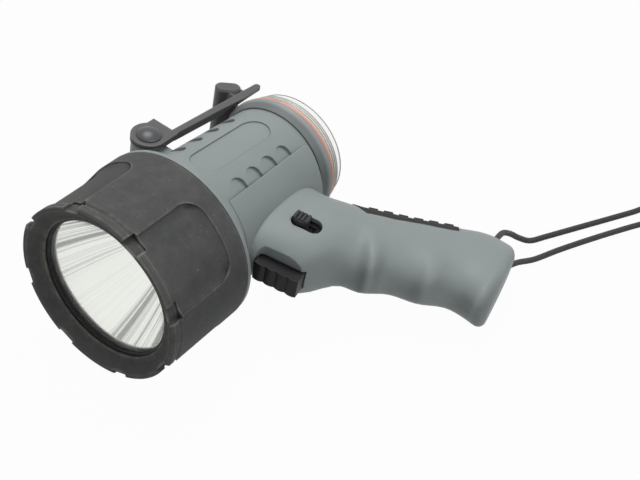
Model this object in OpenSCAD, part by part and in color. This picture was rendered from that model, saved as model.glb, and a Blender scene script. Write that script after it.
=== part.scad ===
// Handheld searchlight with a pistol grip, lying on its right side.
//
// Every piece is drawn in the light's own axes: X runs along the beam from the front of the lugs,
// Y runs down towards the butt of the grip and Z runs to the light's left side.
// lay_down() then tips the light onto the surface that it rests on, with +Z up.

/* [Head] */
// Diameter over the lugs of the rubber guard
guard_d = 95; // [91:1:99]
// Length of the rubber guard along the beam
guard_len = 54.5; // [51:0.5:58]
// Rubber thickness round the head cup
guard_wall = 4; // [3.5:0.25:4.5]
// Diameter of the guard's front opening
window_d = 74.6; // [72:0.2:76]
// Depth of the guard's lip behind the front of the lugs
lip_depth = 6; // [5:0.5:7]
// Number of lugs round the front rim
lug_count = 8; // [4:4:12]
// Width of the notch between two lugs
notch_w = 9; // [6:0.5:11]
// Depth of a notch along the beam
notch_depth = 7; // [4:0.5:9]
// Depth of a notch into the rim
notch_sink = 3; // [2:0.25:3.5]
// Angle that a sunk pad spans round the guard
pad_angle = 54; // [46:1:60]
// Length of a sunk pad from the front of the lugs
pad_len = 44.5; // [38:0.5:47]
// Depth of a sunk pad
pad_depth = 2; // [1:0.25:2.25]
// Width of the sloping wall round a sunk pad
pad_slope = 4; // [2:0.5:5]
// Corner radius at the rear of a sunk pad
pad_corner = 9; // [6:0.5:11]
// Width of the raised rim at the front of the guard
rim_w = 4.2; // [3.5:0.1:5]
// Depth of the groove behind the raised rim
rim_groove = 0.8; // [0.5:0.1:1.2]
// Thickness of the lens
lens_t = 3; // [2:0.5:4]
// Thickness of the lens seal
seal_t = 1; // [0.6:0.2:1.6]
// Depth of the reflector bowl
bowl_depth = 45.5; // [40:0.5:46]
// Radius of the hole at the bottom of the bowl
bowl_hole_r = 9; // [7:0.5:11]

/* [Barrel] */
// Wall of the moulded shells
wall = 2.6; // [2.2:0.1:3]
// Length of the conical shoulder behind the guard
shoulder_len = 10.5; // [9.5:0.5:12]
// Outer radius of the barrel just behind the shoulder
barrel_front_r = 36.5; // [36:0.1:37]
// Outer radius of the barrel at the tail
barrel_rear_r = 32.3; // [32:0.1:33]
// Length of the tapered barrel behind the shoulder
barrel_len = 68; // [66:0.5:70]
// Width of the thin ring behind the guard
collar_w = 3; // [2:0.5:4]
// Radius of the thicker lower half of the barrel
saddle_r = 37.4; // [37.2:0.1:38.5]
// How far below the beam axis the thicker half starts
saddle_edge = 21.4; // [20:0.2:23]
// Number of arched grip recesses in a row
arch_count = 4; // [3:1:4]
// Spacing of the arched recesses along the barrel
arch_pitch = 12.7; // [11.5:0.1:13]
// Depth of an arched recess
arch_depth = 1.6; // [0.8:0.1:2]

/* [Grip] */
// Half width of the grip where the fingers close round it
grip_half_w = 16.5; // [15:0.5:18]
// Half width of the grip's root at the barrel
root_half_w = 20; // [19.5:0.5:21]
// How far down the butt lies below the beam axis
butt_y = 140; // [132:1:150]
// Slope of the butt's end face
butt_slope = 11; // [8:1:13]

/* [Trigger and lock] */
// Height of the trigger along its front face
trigger_h = 24; // [20:0.5:25]
// Width of the trigger
trigger_w = 11; // [10:0.5:13]
// Slope of the trigger and the lock slot
trigger_tilt = 9; // [6:0.5:11]
// How far the trigger travels
trigger_travel = 4; // [3:0.5:5]
// Width of the lock slot
slot_w = 9; // [8:0.5:10]
// Length of the lock slot
slot_len = 16.5; // [15.5:0.5:18]
// How far the lock slider travels
lock_travel = 6; // [5:0.5:7]

/* [Stand] */
// Distance of the stand's pivot behind the front of the lugs
pivot_x = -85.5; // [-88:0.5:-83]
// Height of the stand's pivot above the beam axis
pivot_rise = 44.5; // [44:0.5:47]
// Radius of the hinge boss
boss_r = 9; // [8:0.25:9.5]
// Half length of the hinge boss
boss_half = 18; // [16:0.5:19]
// Diameter of the stand's pivot pin
pin_d = 5; // [4:0.5:6]
// Thickness of the stand's hubs
hub_t = 3.4; // [3:0.2:4]
// Thickness of a stand arm at its hub
arm_t = 3.4; // [3:0.2:4]
// Width of a stand arm
arm_w = 4.6; // [4:0.2:5]

/* [Tail] */
// Radius of the tail collar's flange
flange_r = 35.5; // [35:0.1:36]
// Radius of the male thread under the cap
thread_r = 30; // [29.4:0.1:30.6]
// Bore of the tail collar, which the battery carrier passes through
tail_bore_r = 26; // [25.6:0.1:26.4]
// Thickness of the O-ring
oring_d = 3.2; // [2.8:0.1:3.4]
// Length of the clear tail cap
cap_len = 11; // [10.5:0.5:12]
// Wall of the clear tail cap's end
cap_end_t = 3; // [2.4:0.2:3.4]

/* [Battery] */
// Diameter of a cell
cell_d = 14.3; // [13.8:0.1:14.5]
// Length of a cell
cell_len = 50.5; // [49:0.5:51]
// Number of cells in the ring
cell_count = 6; // [4:1:6]

/* [Cord] */
// Diameter of the wrist cord
cord_d = 3.2; // [2.6:0.2:3.6]
// Diameter of the holes that the wrist cord runs through
cord_hole_d = 4.6; // [4.2:0.2:5.6]

/* [Hidden] */
$fn = 96;

body_grey = [0.53, 0.56, 0.56];
rubber_black = [0.2, 0.2, 0.21];

// clearances
fit_gap = 0.15;
run_gap = 0.3;
seat_gap = 0.3;

// head, from the front
guard_r = guard_d / 2;
pad_margin = -1;
pad_rim_drop = 1;
cup_r = guard_r - guard_wall;
cup_in_r = cup_r - wall;
ring_front = -lip_depth - 0.2;
ring_lip_t = 1;
seal_front = ring_front - ring_lip_t;
lens_front = seal_front - seal_t;
lens_r = cup_r - 4;
ring_r = window_d / 2 - 1.2;
flange_front = lens_front - lens_t;
flange_t = 1.6;
cup_front = flange_front - flange_t;
cup_rear = -guard_len;
bowl_front_r = lens_r - 3;
focal = (pow(bowl_front_r, 2) - pow(bowl_hole_r, 2)) / (4 * bowl_depth);
bowl_rear = flange_front - bowl_depth;
bowl_wall = 1.2;
ledge_r = bowl_front_r + bowl_wall + 0.4;
board_t = 1.6;
board_front = bowl_rear - 1;
sink_front = board_front - board_t;
fin_len = 8;
post_len = 2;

// barrel
barrel_front = cup_rear - collar_w;
shoulder_rear = barrel_front - shoulder_len;
barrel_rear = shoulder_rear - barrel_len;
taper = (barrel_front_r - barrel_rear_r) / barrel_len;
function barrel_r(x) = barrel_front_r + taper * (x - shoulder_rear);
sink_t = 4;
sink_rear = sink_front - sink_t;
sink_r = barrel_front_r - run_gap;
driver_front = sink_rear - fin_len - post_len;
driver_r = barrel_front_r - 16.5;
collar_r = guard_r - 0.4;
saddle_rear = barrel_rear + 4;
saddle_front = shoulder_rear + 1;
saddle_corner_r = 5;

panel_x = -97;
panel_angle = 93;
panel_w = 17;
panel_len = 55;
panel_depth = 0.6;
first_arch = -79;
arch_w = 9;
arch_dip = 9;
arch_offset = 26;

// tail
tail_flange_t = 6;
flange_rear = barrel_rear - tail_flange_t;
cap_front = flange_rear - oring_d - 0.2;
cap_rear = cap_front - cap_len;
cap_r = flange_r - 1.9;
cap_rear_r = 31.8;
oring_sink = 0.4;
thread_end = cap_rear + cap_end_t + 0.6;
spigot_len = 8;
spigot_r = barrel_rear_r - wall - fit_gap;

// battery
plate_t = 0.6;
disc_t = 2.5;
carrier_rear = thread_end + 0.6;
cells_rear = carrier_rear + disc_t + plate_t;
cells_front = cells_rear + cell_len;
carrier_front = cells_front + plate_t + disc_t;
cell_ring_r = cell_d / 2 / sin(180 / cell_count) + 0.3;
carrier_r = tail_bore_r - run_gap;
bulkhead_t = 2;

// trigger frame: the middle of the trigger's front face
trigger_x = -67.2;
trigger_y = 53.8;
trigger_len = 18;
trigger_lip = 2;
lip_t = 3;
guide_front = -11.5;
guide_t = 3.2;
scoop_rear = -7.4;
scoop_round = 4;
scoop_end = 1.2;
spring_y = -5;
spring_r = 3.4;
spring_wire = 0.8;
spring_turns = 6;
spring_len = 12;
switch_y = 6;
switch_w = 9;
plunger_ratio = 0.3;
plunger_len = 2.5;
plunger_gap = trigger_travel * (1 - plunger_ratio) + seat_gap;

chamber_rear = trigger_len + spring_len;
chamber_len = chamber_rear + guide_front - guide_t;
switch_front = trigger_len + plunger_gap + 1.8;

// lock slider frame: the middle of the slot, on the left of the grip root
slot_x = -93.2;
slot_y = 51;
slot_floor = 15.4;
track_t = 1.2;
stem_w = 3;
liner_t = 0.5;
liner_h = 1;
foot_room = 3;
button_h = 4.6;
rib_pitch = 2.1;
rib_r = 0.9;

// stand
pivot_y = -pivot_rise;
web_rear = 4;
hub_in = boss_half + run_gap;
hub_out = hub_in + hub_t;
hub_r = 9.5;
arm_rise = 35.6;
arm_front = pivot_x - 10;
arm_tip = cap_rear - 5.6;
arm_tip_rise = 32.4;
arm_tip_t = 1.6;
tab_len = 32;
tab_t = 2.1;
tab_drop = 2.2;
foot_x = arm_tip + 14.5;
foot_rise = 42.4;
foot_step = 0.7;
lug_len = 8;
lug_t = 5;
lug_rise = 33.2;
hub_groove = 0.7;
foot_half = 22;
foot_long = 14;
foot_short = 8;
foot_lean = 49;
cap_dome_r = 6.7;
cap_dome_h = 2.4;

// places below the root, given for a butt at drawn_butt_y, move with the butt
root_y = 60;
drawn_butt_y = 140;
stretch = (butt_y - root_y) / (drawn_butt_y - root_y);
function down(y) = y < root_y ? y : root_y + (y - root_y) * stretch;

// outline of the grip in the plane of symmetry, as [distance below the beam axis, place along the beam]
front_points = [[10, -62], [28, -65], [44, -69], [down(62), -74], [down(72), -91.5], [down(84), -96],
    [down(94), -105], [down(108), -110], [down(119), -118], [down(130), -119], [down(142), -116],
    [down(150), -113]];
back_points = [[10, -130], [28, -128.5], [45, -127], [down(62), -133.5], [down(79), -142.5], [down(94), -151],
    [down(108), -159.5], [down(120), -165.5], [down(132), -167], [down(150), -167]];
width_points = [[10, root_half_w - 2], [28, root_half_w - 2], [36, root_half_w - 1.8], [44, root_half_w - 0.5],
    [55, root_half_w],
    [down(72), grip_half_w + 1], [down(90), grip_half_w], [down(110), grip_half_w - 0.5],
    [down(126), grip_half_w], [down(142), grip_half_w - 0.5], [down(150), grip_half_w - 1]];
widest_share = 0.6;
roundness = 2.5;
grip_top = 14;
butt_round = 6;
grip_rings = 40;
grip_sides = 40;
cavity_rings = 20;
cavity_sides = 24;

// rubber pad on the straight part of the grip's back
pad_top = [-129.2, down(54)];
pad_end = [-156.9, down(103.5)];
grip_rake = atan((pad_top[0] - pad_end[0]) / (pad_end[1] - pad_top[1]));
pad_length = norm(pad_end - pad_top);
pad_front_half = 17.2;
pad_mid_half = 15.7;
pad_rear_half = 14.9;
pad_front_corner = 9;
pad_reach = 9;
pad_sink = 1.2;
pad_proud = 0.6;
pad_rings = 12;
pad_sides = 24;
pad_span = [44, down(118)];
bump_count = 6;
bump_w = 4.6;
bump_h = 0.7;
bump_edge = 1.6;

// screws that close the grip, and the cord's holes near the butt, as [below the beam axis, to the left]
screw_spots = [[-116, down(66)], [-131, down(96)], [-143, down(126)]];
screw_head_z = -11;
screw_head_r = 3;
screw_head_t = 2.4;
screw_r = 1.5;
screw_len = 18;
screw_boss_r = 4.5;
cord_holes = [[down(121), 2], [down(132), -7]];
cord_hole_x = -176;
cord_hole_len = 20;

// reach of the blocks that part the body into halves
part_reach = 2 * butt_y;

// the wrist cord's centre line on the surface that the light lies on, from the butt out and back again
drawn_route = [
    [-54, 79.8, 19.7], [-55.7, 76.4, 21], [-61.6, 74.8, 21], [-67.9, 75.4, 20.1], [-75.8, 76, 18.8],
    [-84, 76.4, 17.5], [-92, 76, 16], [-98.5, 76, 14.5],
    [-103.5, 78, 11], [-108, 81.5, 6], [-113, 86, 2.2], [-121, 91.5, 1.7], [-133, 100, 1.7], [-145, 108.5, 1.7],
    [-157, 117, 1.7], [-166.5, 123.5, 1.7], [-174, 127.2, 1.7], [-181.8, 130.6, 1.7], [-186.2, 136.2, 1.7],
    [-184.8, 143, 1.7], [-178.5, 146.4, 1.7], [-171.8, 143.8, 1.7], [-165.5, 137, 1.7], [-159, 130.6, 1.7],
    [-147, 122, 1.7], [-132, 112, 1.7], [-116, 102, 1.7], [-102, 94.5, 2.2], [-92, 89, 5], [-83, 86.4, 7.2],
    [-74.4, 86, 8.4], [-66.5, 86.7, 9.3], [-59.8, 87.1, 10.6], [-54.5, 85, 13], [-53.3, 82, 15.2]
];
cord_route = [for (p = drawn_route) p + [0, butt_y - drawn_butt_y, 0]];
cord_sides = 8;
cord_steps = 2;

// smooth curve through points whose first value rises
function span(points, v, i = 1) = (i >= len(points) - 2 || v < points[i + 1][0]) ? i : span(points, v, i + 1);
function curve(points, v) =
    let (i = span(points, v),
        a = points[i - 1], b = points[i], c = points[i + 1], d = points[min(i + 2, len(points) - 1)],
        t = (v - b[0]) / (c[0] - b[0]), h = c[0] - b[0],
        m = (c[1] - a[1]) / (c[0] - a[0]) * h, n = (d[1] - b[1]) / (d[0] - b[0]) * h)
    (2 * t * t * t - 3 * t * t + 1) * b[1] + (t * t * t - 2 * t * t + t) * m
        + (3 * t * t - 2 * t * t * t) * c[1] + (t * t * t - t * t) * n;

// one section of the grip: points round a rounded egg shape, drawn in by inset
function power(v) = sign(v) * pow(abs(v), 2 / roundness);
function section(y, inset, sides) =
    let (front = curve(front_points, y) - inset, back = curve(back_points, y) + inset,
        mid = front + widest_share * (back - front), half = curve(width_points, y) - inset,
        slope = tan(butt_slope) * min(1, max(0, (y - 60) / (butt_y - 60))))
    [for (i = [0:sides - 1])
        let (t = (i + 0.5) * 360 / sides,
            x = mid + power(cos(t)) * (cos(t) > 0 ? front - mid : mid - back))
        [x, y + (x - mid) * slope, half * power(sin(t))]];

module loft(sections) {
    n = len(sections[0]);
    last = len(sections) - 1;
    points = [for (s = sections) each s];
    sides = [for (k = [0:last - 1], i = [0:n - 1], h = [0, 1])
        let (j = (i + 1) % n, a = k * n + i, b = k * n + j, c = a + n, d = b + n)
        h == 0 ? [a, b, d] : [a, d, c]];
    polyhedron(points, concat(sides, [[for (i = [n - 1:-1:0]) i], [for (i = [0:n - 1]) last * n + i]]));
}

// grip solid with a rounded butt, drawn in by inset all round
function ring_y(k, rings) = grip_top + (butt_y - butt_round - grip_top) * k / rings;
module grip_solid(inset = 0, rings = grip_rings, sides = grip_sides) {
    loft(concat(
        [for (k = [0:rings]) section(ring_y(k, rings), inset, sides)],
        [for (a = [18:18:72])
            section(butt_y - butt_round + (butt_round - inset) * sin(a), inset + butt_round * (1 - cos(a)),
                sides)]));
}

// tips the light over until guard, tail flange and butt rest on one plane
guard_rest_x = cup_rear + 0.8;
rest_pitch = atan((guard_r - flange_r) / (guard_rest_x - flange_rear));
function rest_roll_at(q) =
    asin((tan(rest_pitch) * (guard_rest_x - q[0]) - guard_r) / norm([q[1], q[2]])) - atan2(q[2], q[1]);
rest_roll = max([for (k = [grip_rings * 3 / 4:grip_rings])
    for (q = section(ring_y(k, grip_rings), 0, grip_sides))
        if (q[2] < 0) rest_roll_at(q)]);
rest_height = guard_r * cos(rest_pitch) - guard_rest_x * sin(rest_pitch);
origin_x = 78.8;
origin_y = 43.7;
module lay_down() {
    translate([origin_x, -origin_y, rest_height])
        rotate([0, -rest_pitch, 0])
            rotate([rest_roll, 0, 0])
                children();
}

// turns a profile of [radius, place along the beam] round the beam axis
module turned(profile, angle = 360) {
    rotate([0, 90, 0])
        rotate_extrude(angle = angle)
            polygon(profile);
}
module tube_x(r_out, r_in, x_rear, x_front) {
    turned([[r_in, x_rear], [r_out, x_rear], [r_out, x_front], [r_in, x_front]]);
}
// places a shape that is drawn looking inwards at the barrel, at an angle from the grip side to the left
module round_beam(angle) {
    rotate([-90 + angle, 0, 0])
        children();
}
module at_trigger() {
    translate([trigger_x, trigger_y, 0])
        rotate([0, 0, trigger_tilt])
            children();
}
module at_slot() {
    translate([slot_x, slot_y, 0])
        rotate([0, 0, trigger_tilt])
            children();
}
module stadium(width, length) {
    for (side = [-1, 1])
        translate([0, side * (length - width) / 2])
            circle(d = width);
    square([width, length - width], center = true);
}
// a box from its middle in Y and Z, running back from x_front
module block(x_front, length, height, width) {
    translate([x_front - length, -height / 2, -width / 2])
        cube([length, height, width]);
}

// outline of a sunk pad, seen from outside, open at the front
module pad_outline() {
    reach = guard_r * sin(pad_angle / 2) + pad_margin;
    rear = -pad_len - pad_margin;
    for (side = [-1, 1])
        translate([rear + pad_corner, side * (reach - pad_corner)])
            circle(pad_corner);
    translate([rear + pad_corner, -reach])
        square([pad_len + 10, 2 * reach]);
    translate([rear, -reach + pad_corner])
        square([pad_len, 2 * (reach - pad_corner)]);
}
// a sunk pad on the +Y side, with a round floor and sloping walls
module sunk_pad() {
    floor_r = guard_r - pad_depth;
    floor_angle = pad_angle / 2 - pad_slope / guard_r * 180 / PI;
    top = [guard_r * sin(pad_angle / 2), guard_r * cos(pad_angle / 2)];
    foot = [floor_r * sin(floor_angle), floor_r * cos(floor_angle)];
    outer = foot + 4 * (top - foot);
    inner = 2 * foot - top;
    intersection() {
        rotate([90 - pad_angle, 0, 0])
            rotate([0, 90, 0])
                rotate_extrude(angle = 2 * pad_angle)
                    polygon([[guard_r - pad_rim_drop, 10], [guard_r - pad_rim_drop, -rim_w],
                        [floor_r, -rim_w - 0.6], [floor_r, -pad_len + pad_slope],
                        [floor_r + 3 * pad_depth, -pad_len - 2 * pad_slope], [floor_r + 3 * pad_depth, 10]]);
        translate([10, 0, 0])
            rotate([0, -90, 0])
                linear_extrude(20 + pad_len)
                    polygon([inner, outer, [outer[0], 2 * guard_r], [-outer[0], 2 * guard_r],
                        [-outer[0], outer[1]], [-inner[0], inner[1]]]);
        rotate([-90, 0, 0])
            linear_extrude(2 * guard_r)
                pad_outline();
    }
}
module bezel_guard() {
    lip_r = window_d / 2;
    color(rubber_black)
        lay_down()
            difference() {
                turned([[cup_r + fit_gap, cup_rear], [guard_r - 0.6, cup_rear], [guard_r, cup_rear + 0.8],
                    [guard_r, -rim_w - 2.4], [guard_r - rim_groove, -rim_w - 1.6],
                    [guard_r - rim_groove, -rim_w - 0.9], [guard_r, -rim_w],
                    [guard_r, -1.2], [guard_r - 1.2, 0], [guard_r - 3, 0], [lip_r + 2.2, -lip_depth + 1],
                    [lip_r + 1.8, -lip_depth + 1.2], [lip_r + 0.4, -lip_depth + 1.2],
                    [lip_r, -lip_depth + 0.6], [lip_r, ring_front + fit_gap],
                    [cup_r + fit_gap, ring_front + fit_gap]]);
                for (k = [0:lug_count - 1])
                    rotate([(k + 0.5) * 360 / lug_count, 0, 0])
                        translate([-notch_depth, guard_r - notch_sink, -notch_w / 2])
                            cube([notch_depth + 1, guard_r, notch_w]);
                for (k = [0:3])
                    rotate([45 + 90 * k, 0, 0])
                        sunk_pad();
            }
}
module lens_ring() {
    color(rubber_black)
        lay_down()
            turned([[lens_r + fit_gap, cup_front], [cup_r - fit_gap, cup_front], [cup_r - fit_gap, ring_front],
                [ring_r + 0.4, ring_front], [ring_r, ring_front - 0.4],
                [ring_r, seal_front], [lens_r + fit_gap, seal_front]]);
}
module lens() {
    color([0.85, 0.9, 0.92, 0.3])
        lay_down()
            tube_x(lens_r, 0, flange_front, lens_front);
}
module lens_seal() {
    color([0.15, 0.15, 0.15])
        lay_down()
            tube_x(lens_r, ring_r, lens_front, seal_front);
}
// distance of the bowl's surface from its bottom edge, for a radius
function bowl_x(r) = bowl_rear + (pow(r, 2) - pow(bowl_hole_r, 2)) / (4 * focal);
module reflector() {
    steps = 14;
    radii = [for (k = [0:steps]) bowl_hole_r + (bowl_front_r - bowl_hole_r) * k / steps];
    color([0.9, 0.9, 0.88])
        lay_down()
            turned(concat(
                [for (r = radii) [r, bowl_x(r)]],
                [[lens_r, flange_front], [lens_r, cup_front], [bowl_front_r + bowl_wall, cup_front]],
                [for (k = [steps - 1:-1:1]) [radii[k] + bowl_wall, bowl_x(radii[k]) - 0.4]],
                [[bowl_hole_r + 4, bowl_rear + 0.4], [bowl_hole_r + 4, board_front],
                    [bowl_hole_r, board_front]]));
}
module led_emitter() {
    color([0.95, 0.9, 0.55])
        lay_down()
            turned([[0, board_front], [4, board_front], [4, board_front + 1.4], [2.6, board_front + 1.4],
                for (a = [0:15:90]) [2.6 * cos(a), board_front + 1.8 + 2.6 * sin(a)]]);
}
module led_board() {
    color([0.92, 0.92, 0.9])
        lay_down()
            tube_x(bowl_hole_r + 5, 0, sink_front, board_front);
}
module heat_sink() {
    color([0.75, 0.76, 0.78])
        lay_down() {
            tube_x(sink_r, 0, sink_rear, sink_front);
            tube_x(10, 0, sink_rear - fin_len, sink_rear);
            for (k = [0:11])
                rotate([k * 30, 0, 0])
                    translate([sink_rear - fin_len, 0, -0.8])
                        cube([fin_len, 28, 1.6]);
            for (k = [0:2])
                rotate([15 + k * 120, 0, 0])
                    translate([0, 15, 0])
                        tube_x(2.5, 0, driver_front, sink_front - sink_t / 2);
        }
}
module driver_board() {
    color([0.1, 0.4, 0.25])
        lay_down() {
            tube_x(driver_r, 0, driver_front - board_t, driver_front);
            translate([driver_front - board_t - 4, -5, -7])
                cube([4, 10, 14]);
            translate([driver_front - board_t, 12, 0])
                tube_x(3, 0, -7, 0);
        }
}
module front_collar() {
    color(body_grey)
        lay_down()
            turned([[cup_r + fit_gap, barrel_front], [collar_r - 0.8, barrel_front],
                [collar_r, barrel_front + 0.8], [collar_r, cup_rear - fit_gap],
                [cup_r + fit_gap, cup_rear - fit_gap]]);
}

// barrel and head cup as one turned solid, up to the tail
module barrel_outer() {
    turned([[0, barrel_rear], [barrel_rear_r, barrel_rear], [barrel_front_r, shoulder_rear],
        [cup_r, barrel_front], [cup_r, cup_front], [0, cup_front]]);
}
module barrel_cavity() {
    bulkhead = carrier_front + 0.2;
    guide_r = cell_ring_r + cell_d / 2 + 1;
    difference() {
        turned([[0, barrel_rear - 1], [barrel_rear_r - wall, barrel_rear - 1],
            [barrel_rear_r - wall, barrel_rear], [barrel_front_r - wall, shoulder_rear],
            [barrel_front_r - wall, sink_rear], [sink_r + run_gap, sink_rear], [cup_in_r, barrel_front],
            [cup_in_r, cup_front - 3], [ledge_r, cup_front - 3], [ledge_r, cup_front + 1], [0, cup_front + 1]]);
        turned([[10, bulkhead], [guide_r + run_gap, bulkhead], [guide_r + run_gap, bulkhead - 6],
            [guide_r + 2, bulkhead - 6], [guide_r + 2, bulkhead], [guard_r, bulkhead],
            [guard_r, bulkhead + bulkhead_t], [10, bulkhead + bulkhead_t]]);
    }
}
// thicker lower half of the barrel, with a straight upper edge
module saddle() {
    intersection() {
        turned([[0, saddle_rear], [saddle_r - 1.5, saddle_rear], [saddle_r, saddle_rear + 1.5],
            [saddle_r, saddle_front], [0, saddle_front]]);
        linear_extrude(4 * guard_r, center = true)
            union() {
                translate([saddle_rear + saddle_corner_r, saddle_edge])
                    square([saddle_front - saddle_rear, guard_r]);
                translate([saddle_rear, saddle_edge + saddle_corner_r])
                    square([saddle_front - saddle_rear, guard_r]);
                translate([saddle_rear + saddle_corner_r, saddle_edge + saddle_corner_r])
                    circle(saddle_corner_r);
            }
    }
}
module hinge_boss() {
    translate([pivot_x, pivot_y, 0])
        cylinder(r = boss_r, h = 2 * boss_half, center = true);
    translate([pivot_x - web_rear, pivot_y, -boss_half + 1])
        cube([web_rear + boss_r - 1, boss_r + 8, 2 * boss_half - 2]);
}
// one arched recess whose floor sinks towards the tail, with its round end at the given angle
module arch_cut(x, angle, side) {
    half = arch_w / 2;
    round_beam(angle - side * half / barrel_r(x) * 180 / PI)
        translate([x, 0, barrel_r(x) - arch_depth / 2])
            rotate([0, -atan(taper) - arch_dip, 0])
                linear_extrude(8) {
                    circle(half);
                    translate([-half, side > 0 ? 0 : -arch_w])
                        square([arch_w, arch_w]);
                }
}
// bare stadium panel and the two rows of arches on the left
module side_details() {
    difference() {
        round_beam(panel_angle)
            translate([panel_x, 0, 0])
                rotate([0, 0, 90])
                    linear_extrude(2 * guard_r)
                        stadium(panel_w, panel_len);
        turned([[0, barrel_rear], [barrel_rear_r - panel_depth, barrel_rear],
            [barrel_front_r - panel_depth, shoulder_rear], [0, shoulder_rear]]);
    }
    for (k = [0:arch_count - 1]) {
        arch_cut(first_arch - k * arch_pitch, panel_angle - arch_offset, 1);
        arch_cut(first_arch - k * arch_pitch, panel_angle + arch_offset, -1);
    }
}
module trigger_chamber() {
    at_trigger() {
        block(guide_front + 20, 20.5, trigger_h + 0.6, trigger_w + 0.6);
        block(guide_front + 1, guide_t + 2, trigger_h + 0.6, trigger_w + 0.6);
        block(guide_front - guide_t, chamber_len, trigger_h + 2 * trigger_lip + 0.8,
            trigger_w + 2 * trigger_lip + 0.8);
    }
}
module trigger_scoop() {
    at_trigger()
        translate([scoop_rear + scoop_round, 0, -guard_r])
            linear_extrude(2 * guard_r)
                union() {
                    half = trigger_h / 2 + scoop_end;
                    for (side = [-1, 1])
                        translate([0, side * (half - scoop_round)])
                            circle(scoop_round);
                    translate([-scoop_round, scoop_round - half])
                        square([2 * scoop_round, 2 * (half - scoop_round)]);
                    translate([0, -half])
                        square([trigger_len, 2 * half]);
                }
}
// places a shape on the grip's back, with Y along the pad and X pointing into the grip
module at_pad() {
    translate([pad_top[0], pad_top[1], 0])
        rotate([0, 0, grip_rake])
            children();
}
// prism through the outline of the grip pad, which narrows towards its square end
module pad_prism(grow) {
    corner = pad_front_corner;
    front = pad_front_half + grow;
    middle = pad_mid_half + grow;
    rear = pad_rear_half + grow;
    at_pad()
        rotate([0, 90, 0])
            translate([0, 0, -pad_reach])
                linear_extrude(3 * pad_reach)
                    union() {
                        for (side = [-1, 1])
                            translate([side * (pad_front_half - corner), corner])
                                circle(corner + grow);
                        translate([-pad_front_half + corner, -grow])
                            square([2 * (pad_front_half - corner), corner + grow]);
                        polygon([[-front, corner], [front, corner], [middle, pad_length / 2],
                            [rear, pad_length + grow], [-rear, pad_length + grow], [-middle, pad_length / 2]]);
                    }
}
// the part of the grip that the pad covers, drawn in by inset
module grip_span(inset) {
    loft([for (k = [0:pad_rings])
        section(pad_span[0] + (pad_span[1] - pad_span[0]) * k / pad_rings, inset, pad_sides)]);
}
module lock_pocket() {
    at_slot() {
        translate([0, 0, slot_floor])
            linear_extrude(20)
                stadium(slot_w, slot_len);
        translate([0, 0, slot_floor - foot_room])
            linear_extrude(2 * foot_room)
                stadium(slot_w - 2.6, slot_len - 2.6);
    }
}
module cord_passages() {
    for (hole = cord_holes)
        translate([cord_hole_x, hole[0], hole[1]])
            rotate([0, 90, 0])
                cylinder(d = cord_hole_d, h = cord_hole_len);
}
// the hollow body before it is parted into halves
module body() {
    difference() {
        union() {
            difference() {
                barrel_outer();
                side_details();
                mirror([0, 0, 1])
                    side_details();
            }
            saddle();
            hinge_boss();
            grip_solid();
        }
        barrel_cavity();
        difference() {
            intersection() {
                grip_solid(wall, cavity_rings, cavity_sides);
                translate([-part_reach, down(74), -part_reach])
                    cube([part_reach, part_reach, 2 * part_reach]);
            }
            for (spot = screw_spots)
                translate([spot[0], spot[1], -50])
                    cylinder(r = screw_boss_r, h = 100);
        }
        for (spot = screw_spots)
            translate([spot[0], spot[1], 0]) {
                translate([0, 0, -40])
                    cylinder(r = screw_head_r + run_gap, h = 40 + screw_head_z);
                translate([0, 0, screw_head_z - 1])
                    cylinder(r = screw_r + 0.1, h = screw_len + 2);
            }
        trigger_scoop();
        trigger_chamber();
        lock_pocket();
        difference() {
            pad_prism(fit_gap);
            grip_span(pad_sink);
        }
        cord_passages();
        translate([pivot_x, pivot_y, 0])
            cylinder(d = pin_d + fit_gap, h = 4 * boss_half, center = true);
    }
}
module body_left_shell() {
    color(body_grey)
        lay_down()
            intersection() {
                body();
                translate([-part_reach, -part_reach, 0])
                    cube([2 * part_reach, 2 * part_reach, part_reach]);
            }
}
module body_right_shell() {
    color(body_grey)
        lay_down()
            intersection() {
                body();
                translate([-part_reach, -part_reach, -part_reach])
                    cube([2 * part_reach, 2 * part_reach, part_reach]);
            }
}
module shell_screws() {
    color([0.6, 0.6, 0.62])
        lay_down()
            for (spot = screw_spots)
                translate([spot[0], spot[1], 0]) {
                    translate([0, 0, screw_head_z - screw_head_t])
                        cylinder(r = screw_head_r, h = screw_head_t);
                    translate([0, 0, screw_head_z])
                        cylinder(r = screw_r, h = screw_len);
                }
}

module tail_collar() {
    color(body_grey)
        lay_down()
            turned([[tail_bore_r, thread_end], [thread_r, thread_end], [thread_r, flange_rear],
                [flange_r, flange_rear], [flange_r, flange_rear + 1.5], [barrel_rear_r + 0.8, barrel_rear],
                [spigot_r, barrel_rear], [spigot_r, barrel_rear + spigot_len],
                [tail_bore_r, barrel_rear + spigot_len]]);
}
module tail_oring() {
    color([0.85, 0.45, 0.3])
        lay_down()
            rotate([0, 90, 0])
                rotate_extrude()
                    translate([flange_r - oring_sink - oring_d / 2, flange_rear - oring_d / 2 - fit_gap / 2])
                        circle(d = oring_d, $fn = 48);
}
module tail_cap() {
    bore_r = thread_r + run_gap;
    color([0.85, 0.87, 0.86, 0.6])
        lay_down()
            turned([[0, cap_rear], [cap_rear_r - 1, cap_rear], [cap_rear_r, cap_rear + 1],
                [cap_r, cap_front - 2], [cap_r, cap_front], [bore_r, cap_front],
                [bore_r, cap_rear + cap_end_t], [0, cap_rear + cap_end_t]]);
}
module battery_carrier() {
    color([0.16, 0.16, 0.17])
        lay_down() {
            tube_x(carrier_r, 0, carrier_rear, carrier_rear + disc_t);
            tube_x(cell_ring_r - cell_d / 2 - 0.4, 0, carrier_rear, carrier_front);
            tube_x(cell_ring_r + cell_d / 2 + 1, 0, carrier_front - disc_t, carrier_front);
        }
}
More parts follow.
